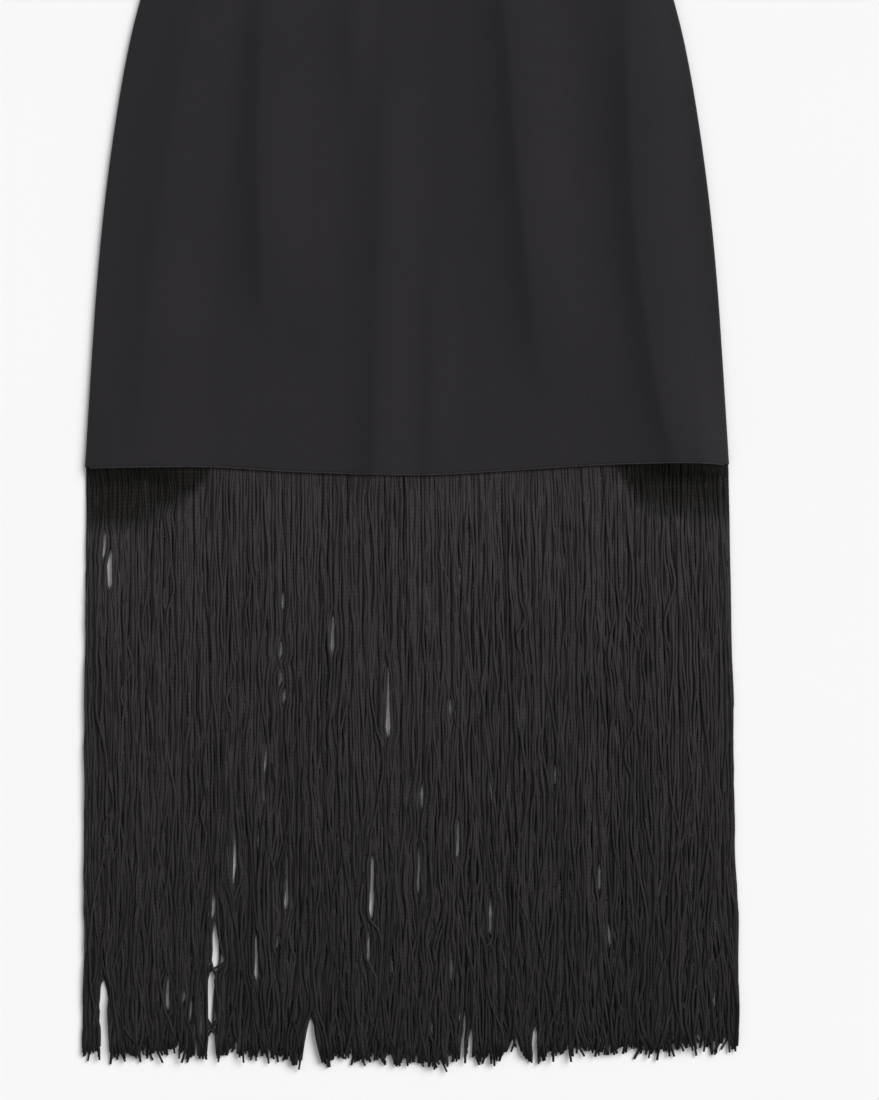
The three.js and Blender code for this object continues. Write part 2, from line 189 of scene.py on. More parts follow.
def bent_waves(table, across, drop, phase):
    """The sum of a table's waves across the strands, each shifted to and fro by a slower one, so that it
    doesn't repeat evenly. A row has size, width, how far the slower one shifts it, that one's length down
    and width, and how many times the layer's phase counts in the slower one and in the wave itself."""
    total = 0
    for size, wide, shift, slow_long, slow_wide, slow_phases, phases in table:
        slow = np.sin(drop / slow_long + across / slow_wide + slow_phases * phase)
        total = total + size * np.sin(across / wide + shift * slow + phases * phase)
    return total


def curve_through(points):
    """A smooth curve through a table's points, as a function of their first column."""
    knots = np.array(points, float)
    last = len(knots) - 1
    t = np.linspace(0, last, len(knots) * CURVE_STEPS + 1)
    i = np.minimum(t.astype(int), last - 1)
    f = (t - i)[:, None]
    before, start = knots[np.maximum(i - 1, 0)], knots[i]
    end, after = knots[i + 1], knots[np.minimum(i + 2, last)]
    leaving, arriving = (end - before) / 2, (after - start) / 2
    cubic = 2 * start - 2 * end + leaving + arriving
    square = -3 * start + 3 * end - 2 * leaving - arriving
    fine = cubic * f**3 + square * f**2 + leaving * f + start
    return lambda value: np.interp(value, fine[:, 0], fine[:, 1])


half_width = curve_through(SIDE_CURVE)
hem_rise = curve_through(HEM_LINE)
bed_height = curve_through(BED)
HALF_HEM = half_width(0)


def row_height(across, up):
    share = np.clip(across / half_width(up), -1, 1)
    return up + hem_rise(share) * (1 - smooth(up / PANEL_TOP))


def fold_height(fold, across, up):
    """How high a fold stands: steep to the left of its rounded crest and gentle to the right."""
    share = up / CLOTH_LENGTH
    bow = 4 * fold["bow"] * share * (1 - share)
    away = across - half_width(up) * (mix(fold["hem"], fold["waist"], share) + bow)
    along = (up - fold["from"]) / (fold["to"] - fold["from"])
    fade = smooth(np.minimum(along, 1 - along) * FOLD_FADE)
    steep = np.exp((CREST_ROUND - np.hypot(away, CREST_ROUND)) / fold["left"])
    gentle = 0.5 * (1 + np.cos(np.pi * np.clip(away / fold["right"], 0, 1)))
    return fold["height"] * fade * np.where(away < 0, steep, gentle)


def corner_share(across, up):
    return smooth((np.abs(across) / half_width(up) - CORNER_FROM) / (CORNER_FULL - CORNER_FROM))


def dart_valley(across, up):
    """Two darts run down from the waist seam."""
    away = np.abs(np.abs(across) - half_width(up) * DART_SHARE)
    along = np.clip((up - (PANEL_TOP - DART_LENGTH)) / DART_LENGTH, 0, 1)
    swell = DART_SWELL * np.exp(-((away / DART_SWELL_WIDTH) ** 2))
    depth = smooth(along * DART_STARTS) * (DART_DEPTH + DART_DEEPENS * along)
    return along * swell - depth * np.exp(-((away / DART_WIDTH) ** 2))


def seam_pucker(across, up):
    near = np.exp(-(((up - PANEL_TOP) / PUCKER_REACH) ** 2))
    return near * PUCKER * (np.sin(across / PUCKER_FINE) + np.sin(across / PUCKER_BROAD + 1))


def front_height(across, up):
    """The height of the front's upper face."""
    roll_top = FRONT_EDGE + FRONT_ROLL
    rise = CORNER_RISE * corner_share(across, up) * (1 - smooth(up / CORNER_REACH))
    folds = sum(fold_height(fold, across, up) for fold in FOLDS + CREASES)
    relief = waves(UNDULATION, across, up) + dart_valley(across, up) + seam_pucker(across, up)
    inward = np.clip((half_width(up) - np.abs(across)) / SHOULDER, 0, 1)
    return roll_top + (bed_height(up) + rise + folds + relief - roll_top) * (1 - (1 - inward) ** 2)


def back_height(across, up):
    """How far the back's underside is off the surface."""
    inward = np.clip((half_width(up) - np.abs(across)) / SHOULDER, 0, 1)
    creases = sum(fold_height(fold, across, up) for fold in BACK_CREASES)
    return smooth(inward) * creases


# Meshes

def mesh_object(name, points, quads, material, uv=None, tone=None):
    """A smooth mesh from points in the skirt's own terms and faces of four corners."""
    placed = np.asarray(points, float) * MM + np.array([MIDDLE_X, HEM_Y, 0])
    quads = np.asarray(quads, np.int32)
    mesh = bpy.data.meshes.new(name)
    mesh.vertices.add(len(placed))
    mesh.vertices.foreach_set("co", placed.ravel())
    mesh.loops.add(quads.size)
    mesh.loops.foreach_set("vertex_index", quads.ravel())
    mesh.polygons.add(len(quads))
    mesh.polygons.foreach_set("loop_start", np.arange(0, quads.size, 4, dtype=np.int32))
    mesh.update(calc_edges=True)
    mesh.validate()
    mesh.shade_smooth()
    if uv is not None:
        mesh.uv_layers.new(name="strand").data.foreach_set("uv", np.asarray(uv, float).ravel())
    if tone is not None:
        mesh.attributes.new("tone", "FLOAT", "POINT").data.foreach_set("value", np.asarray(tone, float))
    mesh.materials.append(material)
    piece = bpy.data.objects.new(name, mesh)
    bpy.context.scene.collection.objects.link(piece)
    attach(piece, "skirt")
    return piece


def shell(upper, lower):
    """A closed shell between two grids of points, given as rows going up the skirt."""
    count, columns = upper.shape[:2]
    index = np.arange(count * columns).reshape(count, columns)
    below = index + count * columns

    def grid(a):
        return np.stack([a[:-1, :-1], a[:-1, 1:], a[1:, 1:], a[1:, :-1]], -1).reshape(-1, 4)

    def wall(a, b):
        return np.stack([a[:-1], a[1:], b[1:], b[:-1]], -1)

    quads = np.concatenate([
        grid(index),
        grid(below)[:, ::-1],
        wall(index[:, 0], below[:, 0]),
        wall(below[:, -1], index[:, -1]),
        wall(below[0], index[0]),
        wall(index[-1], below[-1]),
    ])
    return np.concatenate([upper.reshape(-1, 3), lower.reshape(-1, 3)]), quads


# How many sides a strand or thread has.
TUBE_SIDES = 4


def tubes(lines, radii, flatness=1.0):
    """Thin tubes along many lines at once: points, faces, and for each corner of a face its place round
    and along the tube."""
    count, stops = lines.shape[:2]
    along = np.gradient(lines, axis=1)
    along /= np.linalg.norm(along, axis=2, keepdims=True)
    sideways = np.cross(along, [0, 0, 1])
    sideways /= np.linalg.norm(sideways, axis=2, keepdims=True)
    upward = np.cross(sideways, along)
    angles = 2 * np.pi * (np.arange(TUBE_SIDES) + 0.5) / TUBE_SIDES
    ring = (
        np.cos(angles)[:, None] * sideways[:, :, None, :]
        + flatness * np.sin(angles)[:, None] * upward[:, :, None, :]
    )
    points = lines[:, :, None, :] + radii[:, :, None, None] * ring
    index = np.arange(count * stops * TUBE_SIDES).reshape(count, stops, TUBE_SIDES)
    turned = np.roll(index, -1, axis=2)
    skin = np.stack([index[:, :-1], index[:, 1:], turned[:, 1:], turned[:, :-1]], -1).reshape(-1, 4)
    caps = np.concatenate([index[:, 0], index[:, -1, ::-1]])
    lengths = np.linalg.norm(np.diff(lines, axis=1), axis=2)
    travelled = np.concatenate([np.zeros((count, 1)), np.cumsum(lengths, axis=1)], axis=1)
    u = np.broadcast_to(np.arange(TUBE_SIDES) / TUBE_SIDES, index.shape)
    v = np.broadcast_to(travelled[:, :, None], index.shape)
    step = 1 / TUBE_SIDES
    skin_uv = np.stack([
        np.stack([u[:, :-1], v[:, :-1]], -1),
        np.stack([u[:, 1:], v[:, 1:]], -1),
        np.stack([u[:, 1:] + step, v[:, 1:]], -1),
        np.stack([u[:, :-1] + step, v[:, :-1]], -1),
    ], -2).reshape(-1, 2)
    cap_uv = np.zeros((caps.size, 2))
    return points.reshape(-1, 3), np.concatenate([skin, caps]), np.concatenate([skin_uv, cap_uv])


# Materials

CREPE_DARK = (0.0092, 0.0080, 0.0097)
CREPE_LIGHT = (0.0150, 0.0131, 0.0158)
CORD_DARK = (0.0048, 0.0044, 0.0034)
CORD_LIGHT = (0.0445, 0.0396, 0.0426)
ZIP_DARK = (0.006, 0.006, 0.006)
ZIP_LIGHT = (0.014, 0.0135, 0.014)
ENAMEL_DARK = (0.008, 0.008, 0.009)
ENAMEL_LIGHT = (0.022, 0.021, 0.022)
FLOOR_SHADE = (0.87, 0.87, 0.875)
FLOOR_LIGHT = (0.89, 0.89, 0.895)

# How fine the weave is along X and along Y.
WEAVE_SCALES = {"X": 340, "Y": 300}
# The length over which a cord's plies turn once, how many there are, and how the painted sheen streaks are
# stretched.
CORD_TWIST = 6.0
CORD_PLIES = 2
SHEEN_STREAK_SCALE = (230, 55, 120)


def new_material(name):
    material = bpy.data.materials.new(name)
    material.use_nodes = True
    nodes = material.node_tree.nodes
    return material, nodes, material.node_tree.links, nodes["Principled BSDF"]


def add_noise(nodes, links, coordinates, scale, detail):
    noise = nodes.new("ShaderNodeTexNoise")
    noise.inputs["Scale"].default_value = scale
    noise.inputs["Detail"].default_value = detail
    links.new(coordinates, noise.inputs["Vector"])
    return noise.outputs["Fac"]


def add_wave(nodes, links, coordinates, direction, scale):
    wave = nodes.new("ShaderNodeTexWave")
    wave.bands_direction = direction
    wave.inputs["Scale"].default_value = scale
    wave.inputs["Distortion"].default_value = 2.5
    wave.inputs["Detail"].default_value = 2
    links.new(coordinates, wave.inputs["Vector"])
    return wave.outputs["Fac"]


def add_math(nodes, links, operation, *values):
    node = nodes.new("ShaderNodeMath")
    node.operation = operation
    for socket, value in zip(node.inputs, values):
        if isinstance(value, (int, float)):
            socket.default_value = value
        else:
            links.new(value, socket)
    return node.outputs[0]


def add_blend(nodes, links, *parts):
    """The sum of two values, each given with the share of it that counts."""
    shares = [add_math(nodes, links, "MULTIPLY", value, share) for value, share in parts]
    return add_math(nodes, links, "ADD", *shares)


def add_shades(nodes, links, factor, dark, light):
    ramp = nodes.new("ShaderNodeValToRGB")
    ramp.color_ramp.elements[0].color = (*dark, 1)
    ramp.color_ramp.elements[1].color = (*light, 1)
    links.new(factor, ramp.inputs["Fac"])
    return ramp.outputs["Color"]


def add_bump(nodes, links, height, distance, strength):
    bump = nodes.new("ShaderNodeBump")
    bump.inputs["Distance"].default_value = distance
    bump.inputs["Strength"].default_value = strength
    links.new(height, bump.inputs["Height"])
    return bump.outputs["Normal"]


def crepe_material():
    """Matt black crepe: a pebbled face over a fine weave, with slight mottling."""
    material, nodes, links, shader = new_material("crepe")
    place = nodes.new("ShaderNodeTexCoord").outputs["Object"]
    pebble = add_noise(nodes, links, place, scale=1500, detail=2)
    grain = add_noise(nodes, links, place, scale=420, detail=3)
    mottle = add_noise(nodes, links, place, scale=14, detail=4)
    threads = [add_wave(nodes, links, place, direction, scale) for direction, scale in WEAVE_SCALES.items()]
    weave = add_math(nodes, links, "MULTIPLY", *threads)
    tone = add_blend(nodes, links, (mottle, 0.7), (grain, 0.3))
    links.new(add_shades(nodes, links, tone, CREPE_DARK, CREPE_LIGHT), shader.inputs["Base Color"])
    rough = nodes.new("ShaderNodeMapRange")
    rough.inputs["To Min"].default_value = 0.78
    rough.inputs["To Max"].default_value = 0.95
    links.new(grain, rough.inputs["Value"])
    links.new(rough.outputs["Result"], shader.inputs["Roughness"])
    height = add_math(nodes, links, "ADD", pebble, add_math(nodes, links, "MULTIPLY", weave, 0.5))
    bump = add_bump(nodes, links, height, distance=0.00025, strength=0.6)
    links.new(bump, shader.inputs["Normal"])
    shader.inputs["Specular IOR Level"].default_value = 0.25
    shader.inputs["Sheen Weight"].default_value = 0.12
    shader.inputs["Sheen Roughness"].default_value = 0.5
    return material


def cord_material(name, dark, light):
    """Twisted rayon cord with a soft lustre, each strand a little lighter or darker than the next, and
    painted sheen in light and dark streaks across groups of strands.
    """
    material, nodes, links, shader = new_material(name)
    place = nodes.new("ShaderNodeUVMap")
    place.uv_map = "strand"
    split = nodes.new("ShaderNodeSeparateXYZ")
    links.new(place.outputs["UV"], split.inputs["Vector"])
    turns = add_math(nodes, links, "MULTIPLY", split.outputs["Y"], 1 / CORD_TWIST)
    twist = add_math(nodes, links, "ADD", turns, split.outputs["X"])
    angle = add_math(nodes, links, "MULTIPLY", twist, 2 * math.pi * CORD_PLIES)
    plies = add_math(nodes, links, "SINE", angle)
    strand_tone = nodes.new("ShaderNodeAttribute")
    strand_tone.attribute_name = "tone"
    stretched = nodes.new("ShaderNodeMapping")
    stretched.inputs["Scale"].default_value = SHEEN_STREAK_SCALE
    links.new(nodes.new("ShaderNodeTexCoord").outputs["Object"], stretched.inputs["Vector"])
    # painted sheen: light and dark streaks across groups of strands
    painted_sheen = add_noise(nodes, links, stretched.outputs["Vector"], scale=1, detail=3)
    uneven = add_blend(nodes, links, (painted_sheen, 0.9), (plies, 0.06))
    lightness = add_math(nodes, links, "ADD", uneven, 0.55)
    tone = add_math(nodes, links, "MULTIPLY", strand_tone.outputs["Fac"], lightness)
    links.new(add_shades(nodes, links, tone, dark, light), shader.inputs["Base Color"])
    bump = add_bump(nodes, links, plies, distance=0.00012, strength=0.5)
    links.new(bump, shader.inputs["Normal"])
    shader.inputs["Roughness"].default_value = 0.66
    shader.inputs["Specular IOR Level"].default_value = 0.14
    shader.inputs["Sheen Weight"].default_value = 0.04
    shader.inputs["Sheen Roughness"].default_value = 0.4
    return material


def enamel_material():
    """Black enamel on a small zip casting, worn slightly brighter in patches."""
    material, nodes, links, shader = new_material("enamel")
    place = nodes.new("ShaderNodeTexCoord").outputs["Object"]
    worn = add_noise(nodes, links, place, scale=700, detail=4)
    links.new(add_shades(nodes, links, worn, ENAMEL_DARK, ENAMEL_LIGHT), shader.inputs["Base Color"])
    bump = add_bump(nodes, links, worn, distance=0.00003, strength=0.5)
    links.new(bump, shader.inputs["Normal"])
    shader.inputs["Roughness"].default_value = 0.32
    shader.inputs["Coat Weight"].default_value = 0.4
    shader.inputs["Coat Roughness"].default_value = 0.15
    return material


def floor_material():
    material, nodes, links, shader = new_material("floor")
    place = nodes.new("ShaderNodeTexCoord").outputs["Object"]
    cloudy = add_noise(nodes, links, place, scale=3, detail=2)
    links.new(add_shades(nodes, links, cloudy, FLOOR_SHADE, FLOOR_LIGHT), shader.inputs["Base Color"])
    shader.inputs["Roughness"].default_value = 0.9
    shader.inputs["Specular IOR Level"].default_value = 0.1
    return material


crepe = crepe_material()
cord = cord_material("fringe", CORD_DARK, CORD_LIGHT)
zip_black = cord_material("zip_tape", ZIP_DARK, ZIP_LIGHT)
enamel = enamel_material()


# Cloth

# How finely a piece is divided: the columns round each side roll, the even spaces between the two rolls,
# the extra columns at each dart, and the rows round a folded edge, in degrees.
ROLL_STEPS = 7
MIDDLE_COLUMNS = 190
DART_OFFSETS = [-1.8, -1.1, -0.7, -0.35, 0, 0.35, 0.7, 1.1, 1.8]
EDGE_TURNS = [0, 22, 45, 67, 90]
# How far to each side of a point its slope is measured, and the number of widths that an area is taken from.
SLOPE_STEP = 0.5
WIDTH_SAMPLES = 100


def column_stations(up, roll):
    """Where the columns cross a row, how far round the side roll each lies, and on which side."""
    edge = half_width(up)
    turns = np.radians(np.linspace(0, 90, ROLL_STEPS))
    rolled = edge - roll * (1 - np.cos(turns))
    even = (edge - roll) * np.linspace(-1, 1, MIDDLE_COLUMNS + 1)[1:-1]
    darts = np.array([side * edge * DART_SHARE + offset for side in (-1, 1) for offset in DART_OFFSETS])
    inner = np.sort(np.concatenate([even, darts]))
    across = np.concatenate([-rolled, inner, rolled[::-1]])
    flat = np.full(len(inner), np.pi / 2)
    turned = np.concatenate([turns, flat, turns[::-1]])
    side = np.concatenate([-np.ones(ROLL_STEPS), np.zeros(len(inner)), np.ones(ROLL_STEPS)])
    return across, turned, side


def edge_rows(low_edge, high_edge, step, nose, top_nose):
    """Rows going up a piece: closely spaced round both folded edges. Each has a height and how far it is
    round the fold, from 0 at the nose to 1 where the cloth is flat."""
    turns = np.radians(EDGE_TURNS)
    bottom = [(low_edge + nose * (1 - math.cos(a)), math.sin(a)) for a in turns]
    top = [(high_edge - top_nose * (1 - math.cos(a)), math.sin(a)) for a in turns[::-1]]
    count = max(2, round((high_edge - low_edge) / step))
    between = np.linspace(bottom[-1][0], top[0][0], count + 1)[1:-1]
    return bottom + [(up, 1.0) for up in between] + top


def cloth_shell(stations, roll, face, thickness, outward):
    """The two faces of a laid piece. face gives its outer height, and outward is 1 for the front and -1
    for the back."""
    outer, inner = [], []
    for up, fullness in stations:
        across, turned, side = column_stations(up, roll)
        height = face(across, up) - outward * roll * (1 - np.sin(turned))
        slope = (face(across + SLOPE_STEP, up) - face(across - SLOPE_STEP, up)) / (2 * SLOPE_STEP)
        normal_across = side * np.cos(turned) - outward * slope * (side == 0)
        normal_up = outward * np.sin(turned)
        size = np.hypot(normal_across, normal_up)
        depth = thickness(up)
        sunk = depth / 2 * (1 - fullness)
        for grid, distance in ((outer, sunk), (inner, depth - sunk)):
            grid.append(np.stack([
                across - distance * normal_across / size,
                row_height(across, up),
                height - distance * normal_up / size,
            ], -1))
    return np.array(outer), np.array(inner)


def panel_thickness(up):
    return mix(HEM_CLOTH, CLOTH, float(smooth((up - HEM_TURN) / HEM_TURN_EDGE)))


def band_thickness(up):
    return BAND_CLOTH


def cut_area(low_edge, high_edge):
    """The flat area of what shows of a piece between two heights, in square metres."""
    widths = 2 * half_width(np.linspace(low_edge, high_edge, WIDTH_SAMPLES))
    return float(widths.mean()) * (high_edge - low_edge) * MM * MM


def make_cloth(name, node, low_edge, high_edge, step, is_front, thickness):
    """A piece of cloth between two heights, with a row at about every step."""
    nose = thickness(low_edge) / 2
    top_nose = thickness(high_edge) / 2
    stations = edge_rows(low_edge, high_edge, step, nose, top_nose)
    if is_front:
        upper, lower = cloth_shell(stations, FRONT_ROLL, front_height, thickness, 1)
    else:
        lower, upper = cloth_shell(stations, BACK_EDGE, back_height, thickness, -1)
    piece = mesh_object(name, *shell(upper, lower), crepe)
    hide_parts(node)
    return piece


def declare_cloth(low_edge, high_edge):
    widest = 2 * float(half_width(low_edge)) * MM
    cut_area(low_edge, high_edge)


band_foot = PANEL_TOP + SEAM_GAP
front_cloth = make_cloth(
    "front_cloth", "front_panel", 0, PANEL_TOP, step=3.0, is_front=True, thickness=panel_thickness
)
back_cloth = make_cloth(
    "back_cloth", "back_panel", 0, PANEL_TOP, step=6.0, is_front=False, thickness=panel_thickness
)
front_band = make_cloth(
    "front_waistband_cloth", "waistband_front", band_foot, CLOTH_LENGTH, step=2.5, is_front=True,
    thickness=band_thickness,
)
back_band = make_cloth(
    "back_waistband_cloth", "waistband_back", band_foot, CLOTH_LENGTH, step=4.0, is_front=False,
    thickness=band_thickness,
)


# Fringe

# A strand: its radius, the range of that by chance and the share of it at the tip, how flat it is and the
# usual length, then the drops of its first points, at the hem, and how many points follow below those.
STRAND_RADIUS = 1.2
RADIUS_RANGE = (0.85, 1.15)
TIP_RADIUS = 0.9
STRAND_FLATNESS = 0.5
STRAND_LENGTH = 440.0
HEM_STATIONS = [-6, -2, 1.5, 5, 10, 17, 26, 38]
STRAND_BENDS = 56

# Where the strands leave the hem: how far inside its ends, and by what share of their spacing they stray.
ROOT_INSET = 1.6
ROOT_REACH = HALF_HEM - ROOT_INSET
ROOT_SPREAD = 0.9

# The strands' lengths: by how much they differ by chance, the limits of that, the bent waves of their
# ends, and how much shorter they are at the right-hand end, from a share of the half width on.
LENGTH_SPREAD = 3.2
LENGTH_LIMITS = (-9, 7)
LENGTH_WAVES = [
    (2.4, 1.5, 2, math.inf, 11, 0, 1),
    (2.2, 3.7, 2, math.inf, 17, 0, 0),
    (1.2, 13, 0, math.inf, math.inf, 0, 0),
]
RIGHT_END = {"shorter": 3, "from": 0.93, "over": 0.07}

# Where the strands part and the surface shows: the gap's middle, the drops between which it is open, how
# far its middle moves by its lower end, half its clear width there, less than 0 where it hardly opens, and
# the power of the distance down by which it widens.
TIPS = 460
PARTINGS = rows(
    "at from to moves open wedge",
    (-228, 48, 74, 0, 0.3, 1.5),
    (-223, 62, 94, 0, 0.1, 1.5),
    (-93.5, 92, 110, 0, 0.4, 1.5),
    (-95, 124, 144, 0, 0.6, 1.5),
    (-95.5, 148, 163, 0, 0.4, 1.5),
    (-92.5, 162, 178, 0, 0.6, 1.5),
    (-56, 106, 140, 0, 0.4, 1.5),
    (-14.3, 140, 204, 0, 1.4, 1.5),
    (32.5, 168, 190, 0, -0.3, 1.5),
    (111.7, 223, 245, 0, -0.2, 1.5),
    (11.5, 234, 258, 0, 0.0, 1.5),
    (38.5, 258, 296, 0, 0.7, 1.5),
    (-130, 256, 324, 1.0, 1.7, 1.5),
    (8, 272, 324, 0, 0.7, 1.5),
    (-90.6, 286, 336, 0, 0.7, 1.5),
    (-26, 286, 340, -1.5, 0.8, 1.5),
    (145, 302, 328, 0, 0.6, 1.5),
    (-146, 322, 350, 0, -0.7, 1.5),
    (-146, 340, 383, 5.5, 3.6, 1.5),
    (62.7, 318, 356, 0, 0.7, 1.5),
    (-114, 346, 392, 0.5, 1.1, 1.5),
    (-29, 344, 374, 0, 0.7, 1.5),
    (-98, 350, 366, 0, 0.3, 1.5),
    (-180, 382, 416, 0, 0.9, 1.5),
    (-168, 392, 410, 0, 0.5, 1.5),
    (-162, 400, 426, 0, 0.7, 1.5),
    (-158, 412, TIPS, 0, 1.2, 1.5),
    (-153.5, 396, 436, 0, 0.8, 1.5),
    (-148.5, 378, 430, 2.0, 2.3, 0.4),
    (-147.2, 422, TIPS, 0, 2.6, 0.4),
    (-229.3, 382, TIPS, 1.5, 2.6, 0.5),
    (-72, 409, TIPS, 1.0, 8.0, 1.5),
    (43.4, 402, TIPS, 0, 1.4, 1.5),
    (47.6, 420, TIPS, 0, 1.6, 1.5),
    (81, 422, TIPS, 0, 13.0, 1.5),
    (96.6, 416, TIPS, 0, 1.5, 1.5),
)
# How fast a gap opens and closes, how soon strands are held aside and how soon it has its whole width.
PARTING_OPENS = 7
PARTING_CLOSES = 6
PARTING_HOLDS = 3
PARTING_WHOLE = 1.15
# How far to each side a gap moves strands, how softly it starts to, how ragged that leaves its edges, and
# the share of strands that cross it instead.
PARTING_REACH = 15.0
PARTING_SOFTNESS = 0.35
RAGGED = 0.16
WISPS = 0.025

# Strands that bend out of line in loose loops: their place and how far from it they are chosen, the drops
# between which they bend, and how far they swing. Each takes a share of that swing by chance.
KINKS = rows(
    "at reach from to swing",
    (158, 9, 84, 176, 4.6),
    (172, 5, 96, 150, -3.4),
    (-180, 7, 6, 52, 2.6),
    (-172, 4, 30, 96, -2.8),
    (-116, 5, 60, 130, 2.2),
    (128, 5, 8, 60, 1.8),
    (-52, 6, 150, 215, 2.4),
    (96, 6, 190, 262, -2.6),
    (-205, 6, 210, 290, 2.8),
    (205, 6, 230, 312, 3.0),
    (20, 7, 300, 380, 3.2),
    (-90, 6, 330, 410, -3.4),
)
KINK_SHARES = (-0.5, 1.1)
# Such strands elsewhere: the range of drops where they start and of lengths, the swing and their share.
LOOSE_FROM = (20, 330)
LOOSE_SPAN = (45, 100)
LOOSE_SWING = 2.4
LOOSE_STRANDS = 0.12

# How far the outermost strands have leaned out by the tips, left and right, and by which power of the drop.
LEANS = [(-2.6, 0.8), (8.6, 0.7)]
# How far the outline of the fringe spreads by the tips at each side, the waves of size, length and start
# that make it uneven, and how far inside it a strand may stay.
OUTLINE = {
    -1: {"spread": 3.5, "waves": [(0.8, 23, 0), (0.6, 11, 2)]},
    1: {"spread": 9, "waves": [(0.9, 27, 1), (0.7, 12.5, 0)]},
}
OUTLINE_BLUR = 1.5

# Slow swings that neighbours share, as waves of size, width across, length down and start, their size at
# the hem as a share of that at the tips, and the power of the drop by which they grow.
SWINGS = [(1.9, 17, 83, 0.4), (1.5, 9.5, -61, 1.9), (1.3, 29, 47, 3.2)]
SWINGS_AT_HEM = 0.12
SWINGS_GROW = 1.3
# Clumps of a few strands, as bent waves.
CLUMPS = [(0.7, 1.25, 2.2, 53, 23, 1, 1), (0.32, 0.64, 2.4, 37, 31, 0, 2)]
# Locks that slant near the tips: size, width and length of a wave, how many times the layer's phase counts,
# and how far it bends, then the length of that bend and the shares of the drop where the locks begin and
# over which they grow.
LOCKS = [(1.1, 6.1, 27, 5, 0), (0.8, 3.9, -21, 3, 1)]
LOCK_BEND = 43
LOCKS_FROM = 0.35
LOCKS_OVER = 0.45
# The fan of the tips: size, width and start of its wave, how far the start differs between layers and how
# many times their phase counts in that, and the drops from which and over which it grows, up to a limit.
FAN = {"size": 5.5, "wide": 15, "start": 3.45, "differs": 0.3, "phases": 3}
FAN_GROWTH = {"from": 230, "over": 210, "most": 1.1}

# Each strand's own wandering in long, middling and short waves: the ranges of their length and size, how
# large they are at the hem, how much they gain by the tips, and by which power of the drop. Then how many
# waves are added up each time, and how much more a stray strand wanders in the long ones.
WANDERS = rows(
    "lengths sizes at_hem gain power",
    ((120, 320), (0.25, 0.8), 0.45, 1.3, 1.4),
    ((52, 110), (0.1, 0.42), 0.8, 1.1, 1.6),
    ((24, 50), (0.05, 0.17), 1.0, 1.2, 2),
)
WANDER_WAVES = 4
STRAY_MORE = 2.2
# The drop by which a strand is free of the hem, the share of the drift that is left at the fringe's sides,
# and how far in from them it is calmer.
FREE_BY = 22
SIDE_CALM = 0.35
CALM_REACH = 14
# The very ends: how much they flare out and from which drop over which stretch, and how far they hook and
# over what length.
FLARE = 0.1
FLARE_FROM = 405
FLARE_OVER = 60
HOOK = 2.2
HOOK_LENGTH = 14

# The height at which the front's top layer lies, and how the layers' heights vary: the drop by which
# strands have settled, in the middle and at the corners, the share of their height that is left at the
# sides, the reach of that, the waves, bent waves and wandering of the pile, and the least gap under it.
FRONT_TOP = 4.6
SETTLED_BY = 40
SETTLED_AT_CORNERS = 12
SIDE_HEIGHT = 0.5
SIDE_REACH = 16
PILE_SWELL = [(0.4, 7.3, 90, 0)]
PILE_RIDGES = [(0.3, 1.7, 1.6, 43, math.inf, 0, 1)]
PILE_WANDER = {"lengths": (20, 85), "sizes": (0.06, 0.26)}
PILE_GAP = 0.1
# How much higher stray and bent strands lie, as they cross the others, and the most that a bend lifts one.
STRAY_LIFT = 0.7
KINK_LIFT = 0.45
MOST_KINK_LIFT = 1.4

# The shadow under each end of the hem, left and right: the shares of the half width where it starts and
# where it has its whole length down the strands, the power by which it lengthens between them, the share
# of its length that is evenly dark, and how far the strands sink in it.
PITS = rows("end from whole length", (-1, 0.61, 0.83, 54), (1, 0.65, 0.765, 48))
PIT_CURVE = 0.6
PIT_CORE = 0.65
PIT_SINKS = 0.7
# How dark that shadow is painted into the strands' colour on the lowest layer, which the underside shows,
# and on those above it.
PIT_DARKNESS = {"lies": (1.2, 1.9), "share": (0.74, 0.94)}

# A strand's lightness: that of the top layer at the hem, what each millimetre of depth adds as painted light
# that offsets the shade on the lower layers, chance, what the tips take away and by which power of the drop,
# and what the painted shade under the hem takes away.
TONE = {"top": 0.62, "depth": 0.09, "chance": 0.05, "tips": 0.41, "power": 0.9, "painted_hem_shade": 0.2}
# Streaks of neighbouring strands, and the painted shade under the hem in clumps, as bent waves, and the drop
# by which that painted shade ends.
STREAKS = [(0.08, 1.4, 1.3, 41, math.inf, 0, 1)]
HEM_SHADE_WAVES = [(0.5, 2.3, 2, math.inf, 9, 0, 0)]
HEM_SHADE_DROP = 30


def down_share(drop):
    return np.clip(drop / FRINGE_DROP, 0, 1)


def part_strands(across, drop, wisp, ragged):
    """Moves the strands aside from each gap, each to the side where it passes the gap's upper end."""
    for gap in PARTINGS:
        along = np.clip((drop - gap["from"]) / (gap["to"] - gap["from"]), 0, 1)
        closing = 1 if gap["to"] == TIPS else smooth((1 - along) * PARTING_CLOSES)
        inside = smooth(along * PARTING_OPENS) * closing
        opening = gap["open"] * np.minimum(along * PARTING_WHOLE, 1) ** gap["wedge"]
        clear = inside * (STRAND_RADIUS + opening) * ragged
        middle = gap["at"] + gap["moves"] * along
        upper_end = np.searchsorted(drop[0], gap["from"])
        side = np.where(across[:, upper_end] < middle[:, upper_end], -1, 1)[:, None]
        away = side * (across - middle)
        ahead = PARTING_SOFTNESS * np.logaddexp(0, away / PARTING_SOFTNESS)
        pushed = middle + side * (clear + ahead * (1 - clear / PARTING_REACH))
        hold = smooth(inside * PARTING_HOLDS) * (away < PARTING_REACH) * (1 - wisp)
        across = across + (pushed - across) * hold
    return across


def lean(across, drop):
    """The whole fringe spreads a little towards its tips, more to the right."""
    left, right = [size * down_share(drop) ** power for size, power in LEANS]
    return mix(left, right, (across / HALF_HEM + 1) / 2)


